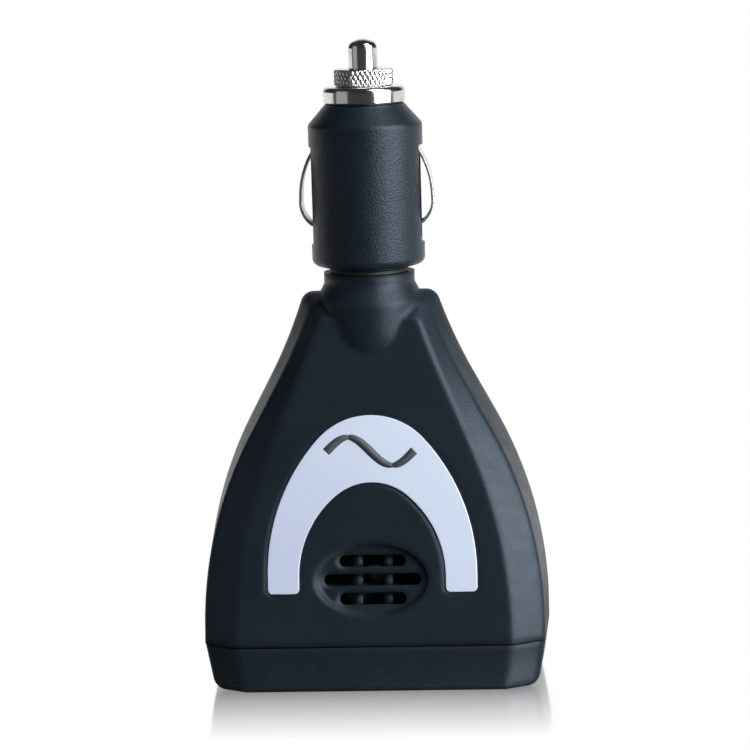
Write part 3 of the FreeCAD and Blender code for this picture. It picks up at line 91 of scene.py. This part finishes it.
class Shader:
    """A material with short calls for adding nodes and wiring them."""

    def __init__(self, name):
        self.material = bpy.data.materials.new(name)
        self.material.use_nodes = True
        self.tree = self.material.node_tree
        self.surface = self.tree.nodes["Principled BSDF"]
        self.place = self.add("ShaderNodeTexCoord").outputs["Object"]

    def add(self, kind, settings=None, **inputs):
        """Adds a node; inputs are numbers, colours or the outputs of other nodes."""
        node = self.tree.nodes.new(kind)
        for key, value in (settings or {}).items():
            setattr(node, key, value)
        for key, value in inputs.items():
            self.wire(node.inputs[key.replace("_", " ")], value)
        return node

    def wire(self, socket, value):
        """Links an output into a socket, or sets the socket's own value."""
        if isinstance(value, bpy.types.NodeSocket):
            self.tree.links.new(value, socket)
        else:
            socket.default_value = value

    def set(self, **inputs):
        """Sets the principled shader's sockets."""
        for key, value in inputs.items():
            self.wire(self.surface.inputs[key.replace("_", " ")], value)

    def math(self, operation, a, b):
        """The result of a math node."""
        node = self.add("ShaderNodeMath", {"operation": operation})
        self.wire(node.inputs[0], a)
        self.wire(node.inputs[1], b)
        return node.outputs[0]

    def noise(self, size, detail=2.0, roughness=0.5, stretch=(1, 1, 1)):
        """Smooth noise, 0 to 1, whose bumps are about size millimetres across."""
        drawn_out = self.add("ShaderNodeMapping", Vector=self.place, Scale=stretch)
        node = self.add("ShaderNodeTexNoise", Vector=drawn_out.outputs[0],
                        Scale=1 / (size * MM), Detail=detail, Roughness=roughness)
        return node.outputs["Fac"]

    def span(self, value, low, high, to_low=0.0, to_high=1.0):
        """Maps a value's range onto another, clamped at both ends."""
        node = self.add("ShaderNodeMapRange", Value=value, From_Min=low, From_Max=high,
                        To_Min=to_low, To_Max=to_high)
        return node.outputs["Result"]

    def blend(self, amount, first, second):
        """A colour between two colours."""
        node = self.add("ShaderNodeMix", {"data_type": "RGBA"})
        self.wire(node.inputs["Factor"], amount)
        self.wire(node.inputs["A"], first)
        self.wire(node.inputs["B"], second)
        return node.outputs["Result"]

    def between(self, amount, first, second):
        """A number between two numbers."""
        node = self.add("ShaderNodeMix", {"data_type": "FLOAT"}, Factor=amount, A=first,
                        B=second)
        return node.outputs["Result"]

    def soft_normal(self, radius):
        """The surface normal with sharp edges rounded over a radius in millimetres."""
        samples = 6
        return self.add("ShaderNodeBevel", {"samples": samples}, Radius=radius * MM).outputs[0]

    def bumped(self, height, depth, strength=1.0, normal=None):
        """A normal bumped by a height map, depth in millimetres."""
        node = self.add("ShaderNodeBump", Height=height, Strength=strength, Distance=depth * MM)
        if normal is not None:
            self.wire(node.inputs["Normal"], normal)
        return node.outputs[0]

    def edge_highlight_mask(self, soft):
        """1 where the rounded normal leaves the flat one, so along the edges: the mask of a
        painted edge highlight.
        """
        unlit_dot = 0.995
        full_highlight_dot = 0.90
        flat = self.add("ShaderNodeNewGeometry").outputs["Normal"]
        dot = self.add("ShaderNodeVectorMath", {"operation": "DOT_PRODUCT"})
        self.wire(dot.inputs[0], soft)
        self.wire(dot.inputs[1], flat)
        return self.span(dot.outputs["Value"], unlit_dot, full_highlight_dot)


def grey(level, blue=0.0):
    """A near-neutral colour; blue is how much stronger its blue is than its red."""
    green_share = 0.45
    return (level, level * (1 + blue * green_share), level * (1 + blue), 1)


def scaled(colour, factor, lift=0.0):
    """A colour made brighter or darker, and lifted by a little white."""
    return tuple(min(1, channel * factor + lift) for channel in colour[:3]) + (1,)


def moulded(name, colour, shine, grain_size, grain_depth, face_shine=None, edge=0.25):
    """Moulded plastic with a spark-eroded grain, painted slightly paler along its edges as a
    painted highlight.

    shine is its roughness, grain_size and grain_depth are in millimetres, and edge is the
    radius over which its edges look rounded. face_shine is the roughness of the polished
    front face, where the grain is also coarser and shallower.
    """
    mottle_size = 9.0
    patch_size = 3.0
    highlight_radius = 0.15
    highlight_share = 0.55
    face_grain = 1.6
    face_depth = 0.22

    shader = Shader(name)
    soft = shader.soft_normal(edge)
    highlight_mask = shader.edge_highlight_mask(shader.soft_normal(highlight_radius))
    mottle = shader.noise(mottle_size, detail=4)
    body = shader.add("ShaderNodeMix", {"data_type": "RGBA", "blend_type": "MULTIPLY"})
    shader.wire(body.inputs["Factor"], 1.0)
    shader.wire(body.inputs["A"], colour)
    shader.wire(body.inputs["B"], shader.span(mottle, 0.3, 0.7, 0.86, 1.14))
    # Paler edges: a painted highlight along every edge, mixed into the base colour.
    highlight_amount = shader.math("MULTIPLY", highlight_mask, highlight_share)
    grain = shader.noise(grain_size, detail=3, roughness=0.6)
    roughness = shader.span(shader.noise(patch_size, detail=3), 0.3, 0.7,
                            shine - 0.04, shine + 0.05)
    if face_shine is not None:
        on_face = front_face_mask(shader)
        face_noise = shader.noise(grain_size * face_grain, detail=2)
        grain = shader.math("MULTIPLY", shader.between(on_face, grain, face_noise),
                            shader.span(on_face, 0, 1, 1.0, face_depth))
        roughness = shader.between(on_face, roughness, face_shine)
    shader.set(Base_Color=shader.blend(highlight_amount, body.outputs["Result"], scaled(colour, 1.9)),
               Roughness=roughness,
               Specular_IOR_Level=0.40,
               Specular_Tint=BLUE_SHEEN,
               Normal=shader.bumped(grain, grain_depth, normal=soft))
    return shader.material


def front_face_mask(shader):
    """1 on the flat leaning front face and 0 on the bevels and sides."""
    turned_away = 0.93
    facing = 0.985
    normal = shader.add("ShaderNodeNewGeometry").outputs["Normal"]
    dot = shader.add("ShaderNodeVectorMath", {"operation": "DOT_PRODUCT"})
    shader.wire(dot.inputs[0], normal)
    dot.inputs[1].default_value = FACE_NORMAL
    return shader.span(dot.outputs["Value"], turned_away, facing)


def plated(name, colour, roughness, stretch=(1, 1, 0.02)):
    """Bright plated metal with fine lines along the plug's axis and a little tarnish."""
    line_size = 0.25
    line_depth = 0.006
    line_strength = 0.35
    stain_size = 2.5
    shader = Shader(name)
    soft = shader.soft_normal(0.15)
    lines = shader.noise(line_size, detail=2, stretch=stretch)
    stain = shader.noise(stain_size, detail=5, roughness=0.65)
    shader.set(
        Base_Color=shader.blend(shader.span(stain, 0.45, 0.75), colour, scaled(colour, 0.72)),
        Metallic=1.0,
        Roughness=shader.span(stain, 0.3, 0.8, roughness, roughness + 0.12),
        Normal=shader.bumped(lines, line_depth, line_strength, soft))
    return shader.material


def label_print_with_sheen(name):
    """The label's silver print, violet at the lower left and paler cyan white at the upper right:
    the paler side is a painted sheen where the lights fall.
    """
    violet = (0.62, 0.68, 0.88, 1)
    lit_pale = (0.69, 0.79, 0.93, 1)
    # Colour of the painted highlight along the label's rim.
    rim_highlight = (0.85, 0.88, 0.95, 1)
    flake_size = 0.12
    cloud_size = 6.0

    shader = Shader(name)
    low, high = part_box("label_plate")
    parts = shader.add("ShaderNodeSeparateXYZ", Vector=shader.place)
    across = shader.span(parts.outputs["X"], low.x, high.x, 0, 0.5)
    up = shader.span(parts.outputs["Z"], low.z, high.z, 0, 0.5)
    cloud = shader.span(shader.noise(cloud_size, detail=3), 0.3, 0.7, -0.06, 0.06)
    # Painted sheen: the colour pales towards the lit upper right.
    sheen_sweep = shader.math("ADD", shader.math("ADD", across, up), cloud)
    colour = shader.blend(shader.span(sheen_sweep, 0.15, 0.9), violet, lit_pale)
    flakes = shader.noise(flake_size, detail=1)
    soft = shader.soft_normal(0.3)
    # The paler rim is a painted highlight along the label's edges.
    rim_highlight_share = shader.math("MULTIPLY", shader.edge_highlight_mask(soft), 0.6)
    shader.set(
        Base_Color=shader.blend(rim_highlight_share, colour, rim_highlight),
        Metallic=0.15,
        Roughness=shader.span(flakes, 0.3, 0.7, 0.36, 0.46),
        Coat_Weight=0.3,
        Coat_Roughness=0.2,
        Normal=shader.bumped(flakes, 0.006, 0.4, soft))
    return shader.material


def printed_ink(name, colour):
    """Screen-printed ink: slightly uneven in tone and thickness."""
    speck_size = 0.3
    shader = Shader(name)
    specks = shader.noise(speck_size, detail=3)
    shader.set(
        Base_Color=shader.blend(shader.span(specks, 0.5, 0.9), colour, scaled(colour, 1.8)),
        Roughness=shader.span(specks, 0.3, 0.7, 0.42, 0.6),
        Normal=shader.bumped(specks, 0.01, 0.5))
    return shader.material


def smooth_plastic(name, colour, roughness, clear=0.0):
    """Glossy or lens plastic, rippled and dusty; clear is the share of light let through."""
    dust_size = 1.2
    ripple_size = 2.0
    shader = Shader(name)
    dust = shader.noise(dust_size, detail=4)
    dusty = scaled(colour, 0.8, lift=0.06)
    ripples = shader.noise(ripple_size)
    shader.set(
        Base_Color=shader.blend(shader.span(dust, 0.55, 0.9), colour, dusty),
        Roughness=shader.span(dust, 0.3, 0.7, roughness, roughness + 0.1),
        Transmission_Weight=clear,
        Normal=shader.bumped(ripples, 0.01, 0.3, shader.soft_normal(0.2)))
    return shader.material


def wound_copper(name):
    """Enamelled copper wire, as fine ridges round the winding."""
    dark = (0.42, 0.14, 0.05, 1)
    bright = (0.62, 0.25, 0.10, 1)
    ridge_pitch = 1.6
    ridge_depth = 0.12
    shader = Shader(name)
    wires = shader.add("ShaderNodeTexWave", {"bands_direction": "Z"}, Vector=shader.place,
                       Scale=1 / (ridge_pitch * MM), Distortion=0.6, Detail=1.0)
    tone = shader.noise(1.5, detail=3)
    shader.set(
        Base_Color=shader.blend(shader.span(tone, 0.3, 0.7), dark, bright),
        Metallic=0.8,
        Roughness=shader.span(tone, 0.3, 0.7, 0.25, 0.4),
        Normal=shader.bumped(wires.outputs["Fac"], ridge_depth, 0.9))
    return shader.material


def circuit_laminate(name):
    """Green solder mask over fibreglass, with a faint weave."""
    dark = (0.012, 0.10, 0.04, 1)
    light = (0.03, 0.17, 0.07, 1)
    weave_pitch = 1.2
    shader = Shader(name)
    weave = shader.add("ShaderNodeTexBrick", Vector=shader.place,
                       Scale=1 / (weave_pitch * MM))
    tone = shader.noise(2.0, detail=4)
    shader.set(
        Base_Color=shader.blend(shader.span(tone, 0.35, 0.65), dark, light),
        Roughness=shader.span(tone, 0.3, 0.7, 0.3, 0.45),
        Normal=shader.bumped(weave.outputs["Fac"], 0.02, 0.4))
    return shader.material


def sintered(name):
    """Dark ferrite with a fine sandy surface."""
    dark = (0.02, 0.02, 0.022, 1)
    light = (0.07, 0.07, 0.075, 1)
    sand_size = 0.2
    shader = Shader(name)
    sand = shader.noise(sand_size, detail=4, roughness=0.7)
    shader.set(Base_Color=shader.blend(sand, dark, light),
               Roughness=shader.span(sand, 0.3, 0.7, 0.5, 0.75),
               Normal=shader.bumped(sand, 0.03, 0.8, shader.soft_normal(0.3)))
    return shader.material


def clear_glass(name):
    """The fuse's thin glass."""
    shader = Shader(name)
    ripple = shader.noise(1.5)
    shader.set(Base_Color=(0.93, 0.97, 0.97, 1),
               Roughness=shader.span(ripple, 0.3, 0.7, 0.02, 0.08),
               Transmission_Weight=1.0,
               Normal=shader.bumped(ripple, 0.01, 0.3))
    return shader.material


BLACK = grey(0.0088, 1.35)
BLUE_SHEEN = (0.70, 0.83, 1.0, 1)
INK = grey(0.05, 0.4)

LOOKS = {
    "black_plastic": moulded("black_plastic", BLACK, 0.40, 0.30, 0.065,
                             face_shine=0.36, edge=1.7),
    "plug_plastic": moulded("plug_plastic", BLACK, 0.34, 0.32, 0.095, edge=0.5),
    "label_silver": label_print_with_sheen("label_silver"),
    "nickel": plated("nickel", (0.74, 0.71, 0.68, 1), 0.10),
    "contact_spring": plated("contact_spring", (0.80, 0.80, 0.80, 1), 0.30,
                             stretch=(1, 1, 0.05)),
    "screw_steel": plated("screw_steel", (0.40, 0.40, 0.41, 1), 0.32),
    "brass": plated("brass", (0.70, 0.50, 0.20, 1), 0.25),
    "outlet_plastic": moulded("outlet_plastic", grey(0.022, 0.3), 0.38, 0.5, 0.02),
    "led_lens": smooth_plastic("led_lens", (0.05, 0.45, 0.12, 1), 0.12, clear=0.4),
    "board_laminate": circuit_laminate("board_laminate"),
    "ferrite": sintered("ferrite"),
    "copper_wire": wound_copper("copper_wire"),
    "bobbin_nylon": smooth_plastic("bobbin_nylon", (0.60, 0.54, 0.42, 1), 0.45),
    "sink_aluminium": plated("sink_aluminium", (0.62, 0.63, 0.65, 1), 0.35),
    "package_black": moulded("package_black", grey(0.015), 0.5, 0.2, 0.02),
    "capacitor_sleeve": smooth_plastic("capacitor_sleeve", (0.02, 0.03, 0.10, 1), 0.25),
    "lead_red": smooth_plastic("lead_red", (0.45, 0.02, 0.015, 1), 0.4),
    "lead_black": smooth_plastic("lead_black", grey(0.02), 0.4),
    "fuse_glass": clear_glass("fuse_glass"),
    "fuse_wire": plated("fuse_wire", (0.55, 0.53, 0.50, 1), 0.3),
    "spring_steel": plated("spring_steel", (0.50, 0.50, 0.52, 1), 0.25),
    "washer_nylon": smooth_plastic("washer_nylon", grey(0.012), 0.5),
}


def dress_cad_nodes():
    """Gives every CAD node the look of its record slot."""
    for part in frame["record"]["subparts"]:
        node = NODES[part["node"]]
        for slot in node.material_slots:
            slot.material = LOOKS[part["material_slot"]]


# ---------------------------------------------------------------- pieces

def new_piece(name, mesh, slot, body):
    """An object for a bmesh, smooth shaded, riding on a body with a slot's look."""
    data = bpy.data.meshes.new(name)
    mesh.to_mesh(data)
    mesh.free()
    data.materials.append(LOOKS[slot])
    for face in data.polygons:
        face.use_smooth = True
    piece = bpy.data.objects.new(name, data)
    bpy.context.scene.collection.objects.link(piece)
    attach(piece, body)
    return piece


def ring_of(mesh, radius_at, height, count):
    """A ring of vertices at a height; radius_at gives the radius at an angle."""
    ring = []
    for step in range(count):
        angle = tau * step / count
        radius = radius_at(angle)
        ring.append(mesh.verts.new((radius * cos(angle), radius * sin(angle), height)))
    return ring


def bridge(mesh, lower, upper):
    """Faces between two rings of the same count."""
    count = len(lower)
    for step in range(count):
        after = (step + 1) % count
        mesh.faces.new((lower[step], lower[after], upper[after], upper[step]))


def knurl_height(angle, rise, columns, slope):
    """0 in the crossing grooves and 1 on a diamond's tip; rise is in metres up the cap."""
    turn = angle * columns / tau
    lean = rise / slope
    return min(abs(((turn + way * lean) % 1) - 0.5) * 2 for way in (-1, 1))


def make_knurled_cap():
    """The unscrewing cap: a diamond knurl cut in a chamfered ring, over its threaded skirt."""
    low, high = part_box("knurled_cap")
    outer = (high.x - low.x) / 2
    bore = 2.72 * MM
    skirt = 3.95 * MM
    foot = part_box("nose_bushing")[1].z + 0.05 * MM
    columns = 38
    per_column = 10
    count = columns * per_column
    rows = 40
    groove = 0.26 * MM
    slope = 1.55 * MM
    flat_tip = 1.5
    chamfer = 0.30 * MM
    rim_width = 0.35 * MM
    foot_bevel = 0.7 * MM
    mouth_width = 0.25 * MM
    mouth_depth = 0.2 * MM
    dish = 0.03 * MM
    sharp_angle = radians(38)

    mesh = bmesh.new()

    def plain(radius, height):
        return ring_of(mesh, lambda angle: radius, height, count)

    def knurled(height):
        edge = min(height - foot, high.z - height)
        largest = outer - max(0.0, chamfer - edge)

        def radius(angle):
            tip = min(1.0, flat_tip * knurl_height(angle, height - foot, columns, slope))
            return min(largest, outer - groove * (1 - tip))
        return ring_of(mesh, radius, height, count)

    rings = [
        plain(bore, low.z),
        plain(skirt, low.z),
        plain(skirt, foot),
        plain(outer - foot_bevel, foot),
    ]
    for row in range(rows + 1):
        rings.append(knurled(foot + (high.z - foot) * row / rows))
    rings.append(plain(outer - chamfer - rim_width, high.z))
    rings.append(plain(bore + mouth_width, high.z - dish))
    rings.append(plain(bore, high.z - mouth_depth))
    for lower, upper in zip(rings, rings[1:]):
        bridge(mesh, lower, upper)
    bridge(mesh, rings[-1], rings[0])
    cap = new_piece("knurled_cap_look", mesh, "nickel", "cap")
    cap.data.set_sharp_from_angle(angle=sharp_angle)
    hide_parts("knurled_cap")


def face_point(across, up, out):
    """A point on the leaning front face: across it, up it from the shells' foot, and out of it."""
    foot = Vector((0, LOW.y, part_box("front_shell")[0].z))
    climb = Vector((0, sin(FACE_LEAN), cos(FACE_LEAN)))
    return foot + Vector((across, 0, 0)) + climb * up + FACE_NORMAL * out


def make_wave_mark():
    """A generic wave pictogram on the label's crown, thinner at its crest and its trough."""
    shell_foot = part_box("front_shell")[0].z
    crown = (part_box("label_plate")[1].z - shell_foot) / cos(FACE_LEAN)
    below_crown = 6.6 * MM
    length = 16.0 * MM
    height = 2.6 * MM
    stroke = 0.78 * MM
    thickness = 0.03 * MM
    surface = 0.2 * MM
    thin_share = 0.45
    steps = 96

    mesh = bmesh.new()
    rails = []
    for step in range(steps + 1):
        phase = tau * step / steps
        x = length * (step / steps - 0.5)
        y = crown - below_crown + height * sin(phase)
        slope = height * cos(phase) * tau / length
        normal = Vector((-slope, 1)).normalized()
        half = stroke * (thin_share + (1 - thin_share) * abs(cos(phase)) ** 0.5)
        corners = []
        for side in (-half, half):
            for level in (surface - thickness, surface + thickness):
                point = face_point(x + side * normal.x, y + side * normal.y, level)
                corners.append(mesh.verts.new(point))
        rails.append(corners)
    for near, far in zip(rails, rails[1:]):
        for a, b in ((0, 1), (1, 3), (3, 2), (2, 0)):
            mesh.faces.new((near[a], near[b], far[b], far[a]))
    for end in (rails[0], rails[-1]):
        mesh.faces.new((end[0], end[1], end[3], end[2]))
    bmesh.ops.recalc_face_normals(mesh, faces=mesh.faces)
    mark = new_piece("label_wave_mark", mesh, "label_silver", "housing")
    mark.data.materials[0] = printed_ink("wave_ink", INK)


# ---------------------------------------------------------------- stage

def lamp(name, place, aim, size, power, colour=(1, 1, 1)):
    """A rectangular soft light aimed at a point."""
    data = bpy.data.lights.new(name, "AREA")
    data.shape = "RECTANGLE"
    data.size, data.size_y = size
    data.energy = power
    data.color = colour
    light = bpy.data.objects.new(name, data)
    light.location = place
    light.rotation_euler = (aim - place).to_track_quat("-Z", "Y").to_euler()
    bpy.context.scene.collection.objects.link(light)


def distance_past(shader, half):
    """How far a point of the floor lies outside a rectangle of this half size."""
    reach = shader.add("ShaderNodeVectorMath", {"operation": "ABSOLUTE"})
    shader.wire(reach.inputs[0], shader.place)
    past = shader.add("ShaderNodeVectorMath", {"operation": "SUBTRACT"})
    shader.wire(past.inputs[0], reach.outputs[0])
    past.inputs[1].default_value = half
    outside = shader.add("ShaderNodeVectorMath", {"operation": "MAXIMUM"})
    shader.wire(outside.inputs[0], past.outputs[0])
    length = shader.add("ShaderNodeVectorMath", {"operation": "LENGTH"})
    shader.wire(length.inputs[0], outside.outputs[0])
    return length.outputs["Value"]


def floor_look():
    """White, polished round the object's foot so that it's mirrored and fades away.

    The floor is white to the eye, but in front of the object it sheds little light, which
    keeps the dark plastic and the metal's reflections dark.
    """
    side_margin = 5 * MM
    front_margin = 4 * MM
    foot = ((HIGH.x - LOW.x) / 2 - side_margin, (HIGH.y - LOW.y) / 2 - front_margin, 1)
    fade = 30 * MM
    most_polish = 0.74
    front_glow = 0.06
    dim_at = -0.02
    bright_at = 0.12

    shader = Shader("studio_floor")
    polish = shader.span(distance_past(shader, foot), 0, fade, most_polish, 0)
    depth = shader.add("ShaderNodeSeparateXYZ", Vector=shader.place).outputs["Y"]
    shed = shader.span(depth, dim_at, bright_at, front_glow, 1.0)
    seen = shader.add("ShaderNodeLightPath").outputs["Is Camera Ray"]
    glow = shader.add("ShaderNodeEmission", Color=(1, 1, 1, 1),
                      Strength=shader.math("MAXIMUM", shed, seen))
    mirror = shader.add("ShaderNodeBsdfGlossy", Color=(1, 1, 1, 1),
                        Roughness=shader.span(shader.noise(40.0), 0.3, 0.7, 0.10, 0.14))
    mix = shader.add("ShaderNodeMixShader")
    shader.wire(mix.inputs[0], polish)
    shader.wire(mix.inputs[1], glow.outputs[0])
    shader.wire(mix.inputs[2], mirror.outputs[0])
    shader.wire(shader.tree.nodes["Material Output"].inputs["Surface"], mix.outputs[0])
    return shader.material


def make_floor():
    """A wide plain floor just under the object."""
    reach = 6.0
    squares = 24
    gap = 0.02 * MM
    mesh = bmesh.new()
    bmesh.ops.create_grid(mesh, x_segments=squares, y_segments=squares, size=reach)
    data = bpy.data.meshes.new("studio_floor")
    mesh.to_mesh(data)
    mesh.free()
    data.materials.append(floor_look())
    floor = bpy.data.objects.new("studio_floor", data)
    floor.location.z = LOW.z - gap
    bpy.context.scene.collection.objects.link(floor)


def make_world():
    """White all round for the eye; for light, a bright backdrop behind and a dim room in front."""
    white = (1, 1, 1, 1)
    room = (0.030, 0.036, 0.048, 1)
    backdrop_edge = 0.66
    backdrop_full = 0.96
    world = bpy.data.worlds.new("studio")
    world.use_nodes = True
    bpy.context.scene.world = world
    tree = world.node_tree
    direction = tree.nodes.new("ShaderNodeTexCoord").outputs["Generated"]
    parts = tree.nodes.new("ShaderNodeSeparateXYZ")
    tree.links.new(direction, parts.inputs[0])
    backdrop = tree.nodes.new("ShaderNodeMapRange")
    backdrop.interpolation_type = "SMOOTHSTEP"
    backdrop.inputs["From Min"].default_value = backdrop_edge
    backdrop.inputs["From Max"].default_value = backdrop_full
    tree.links.new(parts.outputs["Y"], backdrop.inputs["Value"])

    def blend(factor, first, second):
        mix = tree.nodes.new("ShaderNodeMix")
        mix.data_type = "RGBA"
        tree.links.new(factor, mix.inputs["Factor"])
        for socket, value in ((mix.inputs["A"], first), (mix.inputs["B"], second)):
            if isinstance(value, tuple):
                socket.default_value = value
            else:
                tree.links.new(value, socket)
        return mix.outputs["Result"]

    surround = blend(backdrop.outputs["Result"], room, white)
    seen = tree.nodes.new("ShaderNodeLightPath").outputs["Is Camera Ray"]
    tree.links.new(blend(seen, surround, white), tree.nodes["Background"].inputs["Color"])


def around(azimuth, distance, height):
    """A place round the object; azimuth 0 is in front and positive turns to the right."""
    angle = radians(azimuth)
    return Vector((distance * sin(angle), -distance * cos(angle), height))


def make_lights():
    """A tall softbox at the right, a faint one at the left and one high on the right."""
    middle = Vector((0, 0, 0.06))
    pale_blue = (0.93, 0.95, 1.0)
    lamp("right_softbox", around(57, 0.55, 0.15), middle, (0.46, 0.60), 7.5)
    lamp("left_softbox", around(-62, 0.60, 0.14), middle, (0.40, 0.60), 0.28, pale_blue)
    lamp("top_softbox", Vector((0.30, -0.20, 0.60)), middle, (0.30, 0.30), 1.6)


def make_camera():
    """Close, a little above and a little to the right, as a product shot."""
    azimuth = 3.5
    distance = 0.500
    height = 0.140
    roll = radians(1.7)
    aim = Vector((0.0005, 0.0, 0.0556))
    place = around(azimuth, distance, height)
    data = bpy.data.cameras.new("camera")
    data.sensor_width = 36.0
    data.lens = 131.3
    camera = bpy.data.objects.new("camera", data)
    look = (aim - place).to_track_quat("-Z", "Y")
    camera.matrix_world = (Matrix.Translation(place) @ look.to_matrix().to_4x4()
                           @ Matrix.Rotation(-roll, 4, "Z"))
    bpy.context.scene.collection.objects.link(camera)
    bpy.context.scene.camera = camera


bpy.context.scene.view_settings.view_transform = "Standard"
make_camera()
dress_cad_nodes()
make_knurled_cap()
make_wave_mark()
make_floor()
make_world()
make_lights()
